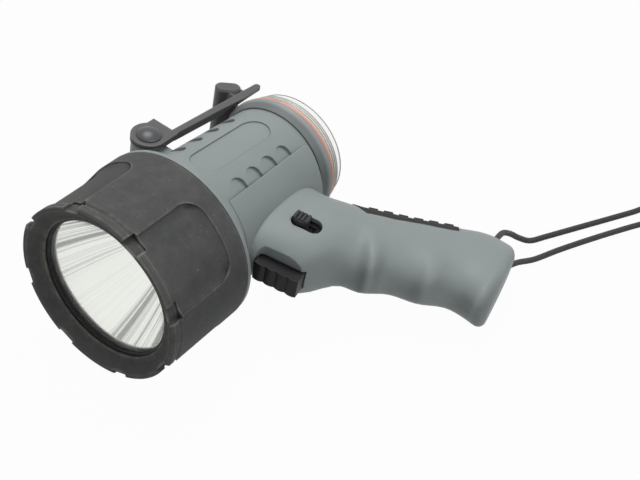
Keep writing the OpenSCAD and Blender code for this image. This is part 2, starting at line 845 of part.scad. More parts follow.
module battery_cells() {
    color([0.35, 0.36, 0.38])
        lay_down()
            for (k = [0:cell_count - 1])
                rotate([k * 360 / cell_count, 0, 0])
                    translate([0, cell_ring_r, 0])
                        turned([[0, cells_rear], [cell_d / 2, cells_rear], [cell_d / 2, cells_front - 1.2],
                            [2.7, cells_front - 1.2], [2.7, cells_front], [0, cells_front]]);
}
module battery_contacts() {
    color([0.8, 0.78, 0.7])
        lay_down()
            for (k = [0:cell_count - 1])
                rotate([k * 360 / cell_count, 0, 0])
                    translate([0, cell_ring_r, 0]) {
                        tube_x(5, 0, cells_rear - plate_t, cells_rear);
                        tube_x(5, 0, cells_front, cells_front + plate_t);
                    }
}

module trigger() {
    ridge_r = 6;
    ridge_h = 1;
    ridge_pitch = trigger_h / 4;
    color(rubber_black)
        lay_down()
            at_trigger() {
                block(-ridge_h, trigger_len - ridge_h, trigger_h, trigger_w);
                intersection() {
                    block(0, 2 * ridge_h, trigger_h, trigger_w);
                    for (k = [0:3])
                        translate([-ridge_r, (k - 1.5) * ridge_pitch, 0])
                            cylinder(r = ridge_r, h = trigger_w, center = true);
                }
                block(-trigger_len + lip_t, lip_t, trigger_h + 2 * trigger_lip, trigger_w + 2 * trigger_lip);
            }
}
// a round wire wound along local X
module coil_spring(radius, wire, turns, length) {
    rings = turns * 8;
    sides = 6;
    loft([for (k = [0:rings])
        let (a = k * 45, x = -wire / 2 - (length - wire) * k / rings)
        [for (i = [0:sides - 1])
            let (b = i * 360 / sides, r = radius + wire / 2 * cos(b))
            [x + wire / 2 * sin(b), r * cos(a), r * sin(a)]]]);
}
module trigger_spring() {
    color([0.7, 0.7, 0.72])
        lay_down()
            at_trigger()
                translate([-trigger_len, spring_y, 0])
                    coil_spring(spring_r, spring_wire, spring_turns, chamber_rear - trigger_len);
}
module switch_block() {
    color([0.12, 0.12, 0.13])
        lay_down()
            at_trigger()
                translate([0, switch_y, 0])
                    difference() {
                        block(-switch_front, chamber_rear - switch_front, switch_w, 10);
                        translate([-switch_front + 1, 0, 0])
                            rotate([0, -90, 0])
                                cylinder(r = 1.6, h = plunger_len + 3);
                    }
}
module switch_plunger() {
    color([0.8, 0.2, 0.15])
        lay_down()
            at_trigger()
                translate([-trigger_len - plunger_gap, switch_y, 0])
                    rotate([0, -90, 0])
                        cylinder(r = 1.5, h = plunger_len + 2);
}
module lock_slider() {
    edge = fit_gap + liner_t + run_gap;
    button_w = slot_w - 2 * edge;
    button_len = slot_len - lock_travel - 2 * edge;
    color(rubber_black)
        lay_down()
            at_slot()
                translate([0, -lock_travel / 2, slot_floor + track_t + run_gap]) {
                    linear_extrude(button_h)
                        stadium(button_w, button_len);
                    for (k = [0:3])
                        translate([0, (k - 1.5) * rib_pitch, button_h])
                            rotate([0, 90, 0])
                                cylinder(r = rib_r, h = button_w - 1.2, center = true);
                    translate([-stem_w / 2, -2, -track_t - 2 * run_gap])
                        cube([stem_w, 4, track_t + 2 * run_gap + 1]);
                    translate([-2.3, -2, -track_t - 2 * run_gap - 1.6])
                        cube([4.6, 4, 1.6]);
                }
}
module slider_track() {
    outer_w = slot_w - 2 * fit_gap;
    outer_len = slot_len - 2 * fit_gap;
    color([0.1, 0.1, 0.1])
        lay_down()
            at_slot()
                translate([0, 0, slot_floor])
                    difference() {
                        linear_extrude(track_t + liner_h)
                            stadium(outer_w, outer_len);
                        translate([0, 0, track_t])
                            linear_extrude(2 * liner_h)
                                stadium(outer_w - 2 * liner_t, outer_len - 2 * liner_t);
                        cube([stem_w + 2 * run_gap, 4 + lock_travel + 2 * run_gap, 4 * track_t], center = true);
                    }
}
module grip_pad() {
    bump_pitch = (pad_length - pad_front_corner) / bump_count;
    color(rubber_black)
        lay_down()
            difference() {
                union() {
                    intersection() {
                        pad_prism(0);
                        grip_span(-pad_proud);
                    }
                    intersection() {
                        pad_prism(-bump_edge);
                        grip_span(-pad_proud - bump_h);
                        at_pad()
                            for (k = [0:bump_count - 1])
                                translate([0, pad_front_corner + (k + 0.4) * bump_pitch, 0])
                                    cube([4 * pad_reach, bump_w, 4 * pad_front_half], center = true);
                    }
                }
                grip_span(pad_sink - fit_gap);
            }
}

// a strap that turns into a thin finger tab with a round tip, just clear of the tail
module stand_arm() {
    tab_front = arm_tip + tab_len;
    tab_in = hub_out - tab_t;
    tip_r = (arm_tip_t + tab_drop) / 2;
    tip_y = -arm_tip_rise + tab_drop - tip_r;
    intersection() {
        linear_extrude(hub_out) {
            polygon([[arm_front, -arm_rise], [arm_front, -arm_rise - arm_t],
                [arm_tip + tip_r, -arm_tip_rise - arm_tip_t], [arm_tip + tip_r, tip_y + tip_r],
                [tab_front - tab_len / 2, tip_y + tip_r - 0.2],
                [tab_front - tab_len / 4, -arm_tip_rise + tab_drop / 2], [tab_front, -arm_tip_rise]]);
            translate([arm_tip + tip_r, tip_y])
                circle(tip_r);
        }
        rotate([90, 0, 0])
            linear_extrude(2 * guard_r)
                polygon([[arm_front, hub_out - arm_w], [arm_front, hub_out], [arm_tip - 1, hub_out],
                    [arm_tip - 1, tab_in], [tab_front - tab_len / 4, tab_in], [tab_front, hub_out - arm_w]]);
    }
}
module stand_hub() {
    rim_t = hub_t / 3;
    cylinder(r = hub_r - hub_groove, h = hub_t);
    for (z = [0, hub_t - rim_t])
        translate([0, 0, z])
            cylinder(r = hub_r, h = rim_t);
    translate([-hub_r - 2, -7, 0])
        cube([hub_r + 2, hub_r + 7, hub_t]);
}
module stand_foot() {
    for (step = [0, foot_step])
        linear_extrude(2 * (foot_half - foot_step + step), center = true)
            rotate([0, 0, 90])
                stadium(foot_short - 2 * step, foot_long - 2 * step);
}
module stand_bail() {
    color(rubber_black)
        lay_down()
            difference() {
                union() {
                    for (side = [0, 1])
                        mirror([0, 0, side]) {
                            translate([pivot_x, pivot_y, hub_in])
                                stand_hub();
                            stand_arm();
                            translate([foot_x - 5, -foot_rise, hub_out - tab_t - lug_t + 1])
                                cube([lug_len, foot_rise - lug_rise, lug_t]);
                        }
                    translate([foot_x, -foot_rise, 0])
                        rotate([0, 0, -foot_lean])
                            stand_foot();
                }
                translate([pivot_x, pivot_y, 0])
                    cylinder(d = pin_d + 0.1, h = 4 * hub_out, center = true);
            }
}
module stand_pin() {
    color([0.7, 0.7, 0.72])
        lay_down()
            translate([pivot_x, pivot_y, 0])
                cylinder(d = pin_d, h = 2 * (hub_out + run_gap), center = true);
}
module pivot_caps() {
    dome_r = (pow(cap_dome_r, 2) + pow(cap_dome_h, 2)) / (2 * cap_dome_h);
    color([0.35, 0.36, 0.37])
        lay_down()
            for (side = [0, 1])
                mirror([0, 0, side])
                    translate([pivot_x, pivot_y, hub_out + run_gap])
                        intersection() {
                            cylinder(r = cap_dome_r, h = cap_dome_h);
                            translate([0, 0, cap_dome_h - dome_r])
                                sphere(dome_r);
                        }
}

// a round cord swept along its route, with level sides
function route_point(k, t) =
    let (last = len(cord_route) - 1, a = cord_route[max(0, k - 1)], b = cord_route[k],
        c = cord_route[min(last, k + 1)], d = cord_route[min(last, k + 2)])
    b + t / 2 * (c - a) + t * t / 2 * (2 * a - 5 * b + 4 * c - d) + t * t * t / 2 * (3 * b - a - 3 * c + d);
function cord_ring(p, way) =
    let (side = cross(way, [0, 0, 1]) / norm(cross(way, [0, 0, 1])), up = cross(side, way) / norm(way))
    [for (i = [0:cord_sides - 1])
        let (a = (i + 0.5) * 360 / cord_sides, r = cord_d / 2 / cos(180 / cord_sides))
        p + r * (cos(a) * side + sin(a) * up)];
module wrist_cord() {
    line = concat(
        [for (k = [0:len(cord_route) - 2]) for (i = [0:cord_steps - 1]) route_point(k, i / cord_steps)],
        [cord_route[len(cord_route) - 1]]);
    last = len(line) - 1;
    color([0.2, 0.2, 0.22])
        loft([for (k = [0:last]) cord_ring(line[k], line[min(last, k + 1)] - line[max(0, k - 1)])]);
}

bezel_guard();
lens_ring();
lens();
lens_seal();
reflector();
led_emitter();
led_board();
heat_sink();
driver_board();
front_collar();
body_left_shell();
body_right_shell();
shell_screws();
tail_collar();
tail_oring();
tail_cap();
battery_carrier();
battery_cells();
battery_contacts();
trigger();
trigger_spring();
switch_block();
switch_plunger();
lock_slider();
slider_track();
grip_pad();
stand_bail();
stand_pin();
pivot_caps();
wrist_cord();
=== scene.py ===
"""Looks of the handheld searchlight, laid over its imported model."""

import math

import bpy
from mathutils import Euler, Matrix, Vector


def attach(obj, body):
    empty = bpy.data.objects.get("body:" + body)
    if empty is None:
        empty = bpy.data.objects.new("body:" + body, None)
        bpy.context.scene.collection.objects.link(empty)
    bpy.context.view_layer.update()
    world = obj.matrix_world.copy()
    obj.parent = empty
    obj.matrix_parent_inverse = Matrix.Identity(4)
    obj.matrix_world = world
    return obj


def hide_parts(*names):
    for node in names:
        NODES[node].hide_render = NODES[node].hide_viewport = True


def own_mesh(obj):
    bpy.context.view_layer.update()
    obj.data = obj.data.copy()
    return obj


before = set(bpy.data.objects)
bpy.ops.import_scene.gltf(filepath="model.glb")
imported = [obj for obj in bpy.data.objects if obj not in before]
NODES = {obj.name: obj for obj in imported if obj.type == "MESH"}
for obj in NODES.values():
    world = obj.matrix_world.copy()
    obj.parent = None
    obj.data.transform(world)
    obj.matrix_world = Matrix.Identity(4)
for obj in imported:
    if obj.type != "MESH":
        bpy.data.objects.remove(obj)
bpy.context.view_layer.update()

# camera: fitted to the round edges of the head and tail in the photo
SENSOR_MM = 36.0
IMAGE_WIDTH_PX = 640
FOCAL_PX = 1180.0
CAMERA_AT = Vector((0.3130, 0.2584, 0.4581))
CAMERA_FORWARD = Vector((-0.5664, -0.4164, -0.7109))
CAMERA_RIGHT = Vector((-0.5742, 0.8181, -0.0224))
CLIP_START = 0.01

# the wrist cord, as a loop from the butt and back into it
MM_PER_M = 1000
CORD_D = 0.0032
CORD_ROUTE_MM = [
    (-54, 79.8, 19.7), (-55.7, 76.4, 21), (-61.6, 74.8, 21), (-67.9, 75.4, 20.1), (-75.8, 76, 18.8),
    (-84, 76.4, 17.5), (-92, 76, 16), (-98.5, 76, 14.5), (-103.5, 78, 11), (-108, 81.5, 6), (-113, 86, 2.2),
    (-121, 91.5, 1.7), (-133, 100, 1.7), (-145, 108.5, 1.7), (-157, 117, 1.7), (-166.5, 123.5, 1.7),
    (-174, 127.2, 1.7), (-181.8, 130.6, 1.7), (-186.2, 136.2, 1.7), (-184.8, 143, 1.7), (-178.5, 146.4, 1.7),
    (-171.8, 143.8, 1.7), (-165.5, 137, 1.7), (-159, 130.6, 1.7), (-147, 122, 1.7), (-132, 112, 1.7),
    (-116, 102, 1.7), (-102, 94.5, 2.2), (-92, 89, 5), (-83, 86.4, 7.2), (-74.4, 86, 8.4), (-66.5, 86.7, 9.3),
    (-59.8, 87.1, 10.6), (-54.5, 85, 13), (-53.3, 82, 15.2),
]
CORD_STEPS = 8
CORD_SIDES = 16

# the light's own axes as it lies on the floor: x along the beam, y down the grip, z to the light's left
LIGHT_AT = (0.0788, -0.0437, 0.0542987)
LIGHT_TURN = (math.radians(-7.82354), math.radians(-7.7391), 0.0)
TO_ROW_TURN = Euler(LIGHT_TURN).to_matrix()
TO_ROW = Matrix.LocRotScale(LIGHT_AT, Euler(LIGHT_TURN), None)

# the male thread on the tail's neck
NECK_R = 0.0300
NECK_FRONT = -0.1422
NECK_REAR = -0.1526
THREAD_PITCH = 0.0030
THREAD_RISE = 0.00022
THREAD_LIFT = 0.00003
THREAD_SKIN = 0.0003
THREAD_SIDES = 120
THREAD_RINGS = 60

# ridges moulded round the tail cap: place along the beam, radius to the middle of the ridge, its own radius
CAP_RIDGES = [
    (-0.1468, 0.0336, 0.0004), (-0.1486, 0.0333, 0.0004),
    (-0.1504, 0.0329, 0.0004), (-0.1555, 0.0316, 0.0003),
]
RIDGE_TURNS = 128
RIDGE_SIDES = 10

# the three-armed contact leaf on the back of the battery carrier, with the button at its middle
LEAF_FRONT = -0.15215
LEAF_REAR = -0.1525
LEAF_R = 0.0055
LEAF_REACH = 0.0095
LEAF_POINTS = 96
LEAF_ARMS = 3
BUTTON_REAR = -0.1529
BUTTON_R = 0.0034

# the trigger's return spring in the light's axes: its front end, its way back and its winding
SPRING_AT = (-0.084196, 0.046046, 0.0)
SPRING_WAY = (-0.987688, -0.156434, 0.0)
SPRING_LENGTH = 0.012
SPRING_R = 0.0034
SPRING_WIRE = 0.0008
SPRING_TURNS = 6
SPRING_STEPS = 24
SPRING_SIDES = 8
SPRING_START_TURN = 0.25

# painted shade for the cross slots of the shell screws: where the heads are, the plane of their faces, and
# half a cross
SCREW_SPOTS = [(-0.116, 0.066), (-0.131, 0.096), (-0.143, 0.126)]
SCREW_FACE = -0.0134
CROSS_REACH = 0.0017
CROSS_HALF = 0.00045
CROSS_SKIN = 0.00006


def srgb(r, g, b):
    """A colour as it is read from a picture, 0 to 255, as linear RGBA."""
    def linear(c):
        c /= 255
        return c / 12.92 if c <= 0.04045 else ((c + 0.055) / 1.055) ** 2.4
    return (linear(r), linear(g), linear(b), 1.0)


# camera
def make_camera():
    data = bpy.data.cameras.new("camera")
    data.sensor_width = SENSOR_MM
    data.lens = FOCAL_PX * SENSOR_MM / IMAGE_WIDTH_PX
    data.clip_start = CLIP_START
    camera = bpy.data.objects.new("camera", data)
    forward = CAMERA_FORWARD.normalized()
    right = (CAMERA_RIGHT - forward * CAMERA_RIGHT.dot(forward)).normalized()
    up = right.cross(forward)
    camera.matrix_world = Matrix.LocRotScale(
        CAMERA_AT, Matrix((right, up, -forward)).transposed().to_quaternion(), None)
    bpy.context.scene.collection.objects.link(camera)
    bpy.context.scene.camera = camera


# meshes
def new_mesh(name, points, faces, uvs=None, smooth=True):
    """A mesh object in the row frame; uvs follow the corners of the faces."""
    mesh = bpy.data.meshes.new(name)
    mesh.from_pydata([tuple(p) for p in points], [], faces)
    mesh.polygons.foreach_set("use_smooth", [smooth] * len(faces))
    if uvs:
        layer = mesh.uv_layers.new(name="UVMap")
        layer.data.foreach_set("uv", [c for uv in uvs for c in uv])
    mesh.update()
    obj = bpy.data.objects.new(name, mesh)
    bpy.context.scene.collection.objects.link(obj)
    return obj


def smooth_line(points, steps):
    """Points on the smooth curve that runs through the given ones."""
    out = []
    last = len(points) - 1
    for i in range(last):
        a, b = points[max(i - 1, 0)], points[i]
        c, d = points[i + 1], points[min(i + 2, last)]
        for k in range(steps):
            t = k / steps
            out.append(0.5 * (2 * b + (c - a) * t + (2 * a - 5 * b + 4 * c - d) * t ** 2
                              + (3 * b - a - 3 * c + d) * t ** 3))
    out.append(points[-1])
    return out


def tube(name, line, radius, sides):
    """A closed round tube along a line, with UVs in turns round it and metres along it."""
    points, faces, uvs = [], [], []
    side = Vector((0, 0, 1))
    along = [0.0]
    for a, b in zip(line, line[1:]):
        along.append(along[-1] + (b - a).length)
    for i, p in enumerate(line):
        way = (line[min(i + 1, len(line) - 1)] - line[max(i - 1, 0)]).normalized()
        side = (side - way * side.dot(way)).normalized()
        other = way.cross(side)
        for k in range(sides):
            turn = 2 * math.pi * k / sides
            points.append(p + radius * (math.cos(turn) * side + math.sin(turn) * other))
    for i in range(len(line) - 1):
        for k in range(sides):
            j = (k + 1) % sides
            faces.append((i * sides + k, i * sides + j, (i + 1) * sides + j, (i + 1) * sides + k))
            uvs += [(k / sides, along[i]), ((k + 1) / sides, along[i]),
                    ((k + 1) / sides, along[i + 1]), (k / sides, along[i + 1])]
    for ring, step in ((0, -1), (len(line) - 1, 1)):
        corners = [ring * sides + k for k in range(sides)][::step]
        faces.append(corners)
        uvs += [(0.5, along[ring])] * sides
    return new_mesh(name, points, faces, uvs)


def make_cord():
    line = smooth_line([Vector(p) / MM_PER_M for p in CORD_ROUTE_MM], CORD_STEPS)
    cord = tube("cord_braid", line, CORD_D / 2, CORD_SIDES)
    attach(cord, "housing")
    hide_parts("wrist_cord")
    return cord


def make_spring():
    """The trigger's return spring, held in the housing at one length."""
    front, way = Vector(SPRING_AT), Vector(SPRING_WAY)
    up = Vector((0, 0, 1))
    side = up.cross(way)
    count = SPRING_TURNS * SPRING_STEPS
    line = []
    for i in range(count + 1):
        turn = 2 * math.pi * (i / SPRING_STEPS + SPRING_START_TURN)
        back = SPRING_WIRE / 2 + (SPRING_LENGTH - SPRING_WIRE) * i / count
        around = SPRING_R * (math.cos(turn) * side + math.sin(turn) * up)
        line.append(TO_ROW @ (front + way * back + around))
    spring = tube("return_spring", line, SPRING_WIRE / 2, SPRING_SIDES)
    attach(spring, "housing")
    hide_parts("trigger_spring")
    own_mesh(spring)
    return spring


def make_thread():
    """The male thread on the tail's neck: a closed thin skin over the CAD neck, ridged in a helix."""
    length = NECK_FRONT - NECK_REAR
    sections = []
    for i in range(THREAD_RINGS + 1):
        sections.append((NECK_FRONT - length * i / THREAD_RINGS, True))
    sections += [(NECK_REAR, False), (NECK_FRONT, False)]
    points, faces, uvs = [], [], []
    for x, outer in sections:
        for k in range(THREAD_SIDES):
            phase = x / THREAD_PITCH + k / THREAD_SIDES
            ridge = 0.5 + 0.5 * math.cos(2 * math.pi * phase)
            if outer:
                radius = NECK_R + THREAD_LIFT + THREAD_RISE * ridge ** 2
            else:
                radius = NECK_R - THREAD_SKIN
            turn = 2 * math.pi * k / THREAD_SIDES
            points.append(TO_ROW @ Vector((x, radius * math.cos(turn), radius * math.sin(turn))))
    for i in range(len(sections)):
        after = (i + 1) % len(sections)
        for k in range(THREAD_SIDES):
            side = (k + 1) % THREAD_SIDES
            corners = ((i, k, 0), (i, side, 1), (after, side, 1), (after, k, 0))
            faces.append([ring * THREAD_SIDES + at for ring, at, _ in corners])
            uvs += [((k + step) / THREAD_SIDES, sections[ring][0] / THREAD_PITCH)
                    for ring, _, step in corners]
    thread = new_mesh("neck_thread", points, faces, uvs)
    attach(thread, "housing")
    return thread


def make_ridges():
    """Thin round ridges on the outside of the tail cap."""
    points, faces = [], []
    for x, radius, thick in CAP_RIDGES:
        first = len(points)
        for i in range(RIDGE_TURNS):
            turn = 2 * math.pi * i / RIDGE_TURNS
            for k in range(RIDGE_SIDES):
                lean = 2 * math.pi * k / RIDGE_SIDES
                out = radius + thick * math.cos(lean)
                place = Vector((x + thick * math.sin(lean), out * math.cos(turn), out * math.sin(turn)))
                points.append(TO_ROW @ place)
        for i in range(RIDGE_TURNS):
            for k in range(RIDGE_SIDES):
                here, after = first + i * RIDGE_SIDES, first + (i + 1) % RIDGE_TURNS * RIDGE_SIDES
                side = (k + 1) % RIDGE_SIDES
                faces.append((here + k, here + side, after + side, after + k))
    ridges = new_mesh("cap_ridges", points, faces)
    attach(ridges, "tail_cap")
    return ridges


def slabs(name, shapes):
    """Straight-sided slabs in one mesh, in the light's own axes.

    Each shape is an outline, anticlockwise as seen from the end that the way leads to, and that way."""
    points, faces = [], []
    for outline, way in shapes:
        first, count = len(points), len(outline)
        points += [TO_ROW @ p for p in outline]
        points += [TO_ROW @ (p + way) for p in outline]
        faces.append([first + k for k in reversed(range(count))])
        faces.append([first + count + k for k in range(count)])
        for k in range(count):
            here, after = first + k, first + (k + 1) % count
            faces.append((here, after, after + count, here + count))
    return new_mesh(name, points, faces, smooth=False)


def make_tail_contact():
    """A brass leaf with three rounded arms and a button, on the back end of the battery carrier."""
    leaf, button = [], []
    for i in range(LEAF_POINTS):
        turn = 2 * math.pi * i / LEAF_POINTS
        way = Vector((0, math.cos(turn), -math.sin(turn)))
        arm = max(0.0, math.cos(LEAF_ARMS * turn)) ** 2
        leaf.append(Vector((LEAF_FRONT, 0, 0)) + way * (LEAF_R + LEAF_REACH * arm))
        button.append(Vector((LEAF_REAR, 0, 0)) + way * BUTTON_R)
    contact = slabs("tail_contact", [
        (leaf, Vector((LEAF_REAR - LEAF_FRONT, 0, 0))), (button, Vector((BUTTON_REAR - LEAF_REAR, 0, 0)))])
    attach(contact, "housing")
    return contact


def make_slot_shade():
    """A thin dark cross on the head of each shell screw: painted shade where its cross slot is."""
    half, reach = CROSS_HALF, CROSS_REACH
    cross = []
    for x, y in ((1, 0), (0, 1), (-1, 0), (0, -1)):
        for out, side in ((reach, -half), (reach, half), (half, half)):
            cross.append((out * x - side * y, out * y + side * x))
    shapes = []
    for x, y in SCREW_SPOTS:
        outline = [Vector((x + a, y - b, SCREW_FACE + CROSS_SKIN)) for a, b in cross]
        shapes.append((outline, Vector((0, 0, -2 * CROSS_SKIN))))
    slot_shade = slabs("screw_slot_shade", shapes)
    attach(slot_shade, "housing")
    return slot_shade


# materials

# noise: its usual detail and roughness, the range that most of its values lie in, and broad clouds
NOISE_DETAIL = 3.0
NOISE_ROUGH = 0.6
NOISE_MIDDLE = (0.3, 0.7)
CLOUD_SIZE = 0.03
CLOUD_ROUGH = 0.5

# samples of the bevel and occlusion nodes, and the ranges in which an edge and an open face fade out
BEVEL_SAMPLES = 6
OPEN_SAMPLES = 8
EDGE_RANGE = (0.75, 0.99)
OPEN_RANGE = (0.35, 0.95)

# sockets of the mix node when it mixes colours
MIX_A = 6
MIX_B = 7
MIX_RESULT = 2

# low ridges between the fingers, in the light's axes: the y at which each crosses x = FINGER_X, and its
# width; they lean at the start of FINGER_LEAN_SPAN and no longer at its end, and fade in towards the front of
# the grip, which leans by GRIP_LEAN
FINGER_RIDGES = (0.0905, 0.118, 0.137)
FINGER_X = -0.095
FINGER_WIDTH = 0.0055
FINGER_LEAN = 0.65
FINGER_LEAN_SPAN = (0.080, 0.135)
GRIP_LEAN = 0.38
FINGER_FADE = (-0.092, -0.066)


class Paint:
    """A node material built up from small steps, ending in one principled shader."""

    def __init__(self, name):
        self.material = bpy.data.materials.new(name)
        self.material.use_nodes = True
        self.tree = self.material.node_tree
        self.shader = self.tree.nodes["Principled BSDF"]
        self.place = self.add("ShaderNodeTexCoord").outputs["Object"]

    def add(self, kind, inputs=None, **settings):
        node = self.tree.nodes.new(kind)
        for key, value in settings.items():
            setattr(node, key, value)
        for key, value in (inputs or {}).items():
            self.put(node.inputs[key], value)
        return node

    def put(self, socket, value):
        if isinstance(value, bpy.types.NodeSocket):
            self.tree.links.new(value, socket)
        else:
            socket.default_value = value

    def set(self, **inputs):
        for key, value in inputs.items():
            self.put(self.shader.inputs[key.replace("_", " ")], value)
        return self

    def light_place(self):
        """Where the surface is in the light's own axes, as X, Y and Z outputs."""
        place = self.add("ShaderNodeMapping", {
            "Vector": self.place, "Location": LIGHT_AT, "Rotation": LIGHT_TURN}, vector_type="TEXTURE")
        return self.add("ShaderNodeSeparateXYZ", {"Vector": place.outputs["Vector"]}).outputs

    def noise(self, size, detail=NOISE_DETAIL, rough=NOISE_ROUGH, where=None):
        """Noise whose patches are about size metres across."""
        node = self.add("ShaderNodeTexNoise", {
            "Vector": where or self.place, "Scale": 1 / size, "Detail": detail, "Roughness": rough})
        return node.outputs["Fac"]

    def ramp(self, value, low, high, start=0.0, end=1.0):
        """value carried from the range start..end to the range low..high, kept inside it."""
        node = self.add("ShaderNodeMapRange", {
            "Value": value, "From Min": start, "From Max": end, "To Min": low, "To Max": high})
        return node.outputs["Result"]

    def vector(self, operation, a, b=(0.0, 0.0, 0.0)):
        return self.add("ShaderNodeVectorMath", {0: a, 1: b}, operation=operation).outputs

    def mix(self, share, a, b):
        node = self.add("ShaderNodeMix", data_type="RGBA")
        self.put(node.inputs["Factor"], share)
        self.put(node.inputs[MIX_A], a)
        self.put(node.inputs[MIX_B], b)
        return node.outputs[MIX_RESULT]

    def math(self, operation, a, b=0.0):
        return self.add("ShaderNodeMath", {0: a, 1: b}, operation=operation).outputs[0]

    def edges(self, radius):
        """1 on edges and corners, 0 on open faces."""
        plain = self.add("ShaderNodeNewGeometry").outputs["Normal"]
        alike = self.vector("DOT_PRODUCT", self.rounded(radius), plain)["Value"]
        return self.ramp(alike, 1.0, 0.0, *EDGE_RANGE)

    def rounded(self, radius):
        """The surface's normal with edges rounded off by radius metres."""
        return self.add("ShaderNodeBevel", {"Radius": radius}, samples=BEVEL_SAMPLES).outputs["Normal"]

    def open_face(self, reach):
        """1 on open faces, falling to 0 in corners and grooves, looked for within reach metres."""
        node = self.add("ShaderNodeAmbientOcclusion", {"Distance": reach}, samples=OPEN_SAMPLES)
        return self.ramp(node.outputs["AO"], 0.0, 1.0, *OPEN_RANGE)

    def finger_ridges(self):
        """1 on the low ridges between the fingers on the sides of the grip, fading out towards its back."""
        parts = self.light_place()
        x, y = parts["X"], parts["Y"]
        lean = self.ramp(y, FINGER_LEAN, 0.0, *FINGER_LEAN_SPAN)
        along = self.math("SUBTRACT", y, self.math("MULTIPLY", lean, self.math("SUBTRACT", x, FINGER_X)))
        total = 0.0
        for place in FINGER_RIDGES:
            off = self.math("DIVIDE", self.math("SUBTRACT", along, place), FINGER_WIDTH)
            hill = self.math("EXPONENT", self.math("MULTIPLY", self.math("MULTIPLY", off, off), -1.0))
            total = self.math("ADD", hill, total)
        front = self.math("ADD", x, self.math("MULTIPLY", y, GRIP_LEAN))
        return self.math("MULTIPLY", total, self.ramp(front, 0.0, 1.0, *FINGER_FADE))

    def bump(self, height, depth, edge=0.0):
        """Raises the surface by height times depth metres, with edges rounded off by edge metres."""
        inputs = {"Height": height, "Distance": depth, "Strength": 1.0}
        if edge:
            inputs["Normal"] = self.rounded(edge)
        return self.set(Normal=self.add("ShaderNodeBump", inputs).outputs["Normal"])


def shades(colour, *factors):
    """A colour made darker or lighter by each factor."""
    return [tuple(min(c * factor, 1.0) for c in colour[:3]) + (1.0,) for factor in factors]


# moulded plastic: shade of its clouds, tone that worn and highlighted edges tend to, how far corners are
# looked for to paint shade in them, what painted shade leaves of the unshaded tone, how much edges are
# rubbed and painted lighter as highlight and how far past their rounding, and the spread of its roughness
MOULDED_DIM = 0.93
MOULDED_PALE = 0.8
MOULDED_CORNER = 0.0025
MOULDED_SHADED_LEFT = 0.2
MOULDED_RUB_AND_HIGHLIGHT = 0.7
MOULDED_RUB_AND_HIGHLIGHT_REACH = 1.5
MOULDED_ROUGH = (-0.06, 0.08)


def moulded(name, colour, rough=0.5, gloss=0.5, grain=0.0004, depth=0.00002, edge=0.0004, wear_and_highlight=0.12,
            corner_shade=0.45, shade_span=None, ridges=0.0):
    """Moulded plastic: fine grain, slight cloudiness, painted shade in corners, and edges paler as wear and
    painted highlight.

    Painted shade, where there is any, grows forward between two places along the beam and stays darkest in
    front of them. Ridges is how strongly those between the fingers on the grip show."""
    paint = Paint(name)
    cloud = paint.noise(CLOUD_SIZE, rough=CLOUD_ROUGH)
    fine = paint.noise(grain)
    pale = tuple(c + wear_and_highlight * (MOULDED_PALE - c) for c in colour[:3]) + (1.0,)
    dim, shaded = shades(colour, MOULDED_DIM, corner_shade)
    tone = paint.mix(paint.ramp(cloud, 0.0, 1.0, *NOISE_MIDDLE), dim, colour)
    # painted shade in corners and grooves, darker where nearby surfaces close in
    unshaded = paint.open_face(MOULDED_CORNER)
    # where a span is given, painted shade also grows along the beam, darkest towards the front
    if shade_span:
        outside_shade = paint.ramp(paint.light_place()["X"], 1.0, MOULDED_SHADED_LEFT, *shade_span)
        unshaded = paint.math("MULTIPLY", unshaded, outside_shade)
    tone = paint.mix(unshaded, shaded, tone)
    # edges painted paler, partly as wear and partly as painted highlight, except in shaded corners
    worn_and_lit = paint.math("MULTIPLY", paint.edges(edge * MOULDED_RUB_AND_HIGHLIGHT_REACH), MOULDED_RUB_AND_HIGHLIGHT)
    paint.set(Base_Color=paint.mix(paint.math("MULTIPLY", worn_and_lit, unshaded), tone, pale))
    low, high = (rough + part for part in MOULDED_ROUGH)
    paint.set(Roughness=paint.ramp(fine, low, high, *NOISE_MIDDLE), Specular_IOR_Level=gloss)
    height = fine
    if ridges:
        height = paint.math("ADD", fine, paint.math("MULTIPLY", paint.finger_ridges(), ridges / depth))
    return paint.bump(height, depth, edge).material


# hard rubber: its mottling, grain and gloss, how far corners are looked for and how dark their painted shade
# is; how much edges are rubbed and painted lighter as highlight, and roughness, each with the range of the
# noise that it follows
MOTTLE_SIZE = 0.006
MOTTLE_DETAIL = 5.0
MOTTLE_ROUGH = 0.65
MOTTLE_SHARE = 0.5
RUBBER_GRAIN = 0.0006
RUBBER_GRAIN_SHARE = 0.5
RUBBER_DEPTH = 0.00006
RUBBER_GLOSS = 0.15
RUBBER_CORNER = 0.004
RUBBER_CORNER_SHADE = 0.4
RUBBER_RUB_AND_HIGHLIGHT_REACH = 1.6
RUBBER_RUB_AND_HIGHLIGHT = (0.45, 0.95, 0.42, 0.62)
RUBBER_ROUGH = (0.62, 0.8, 0.36, 0.66)

# dust specks: cells to a metre with the reach of a speck in its cell, how much they cover, and where they lie
DUST = ((210.0, 0.10), (420.0, 0.13))
DUST_COVER = 0.6
DUST_WHERE = (0.44, 0.58)


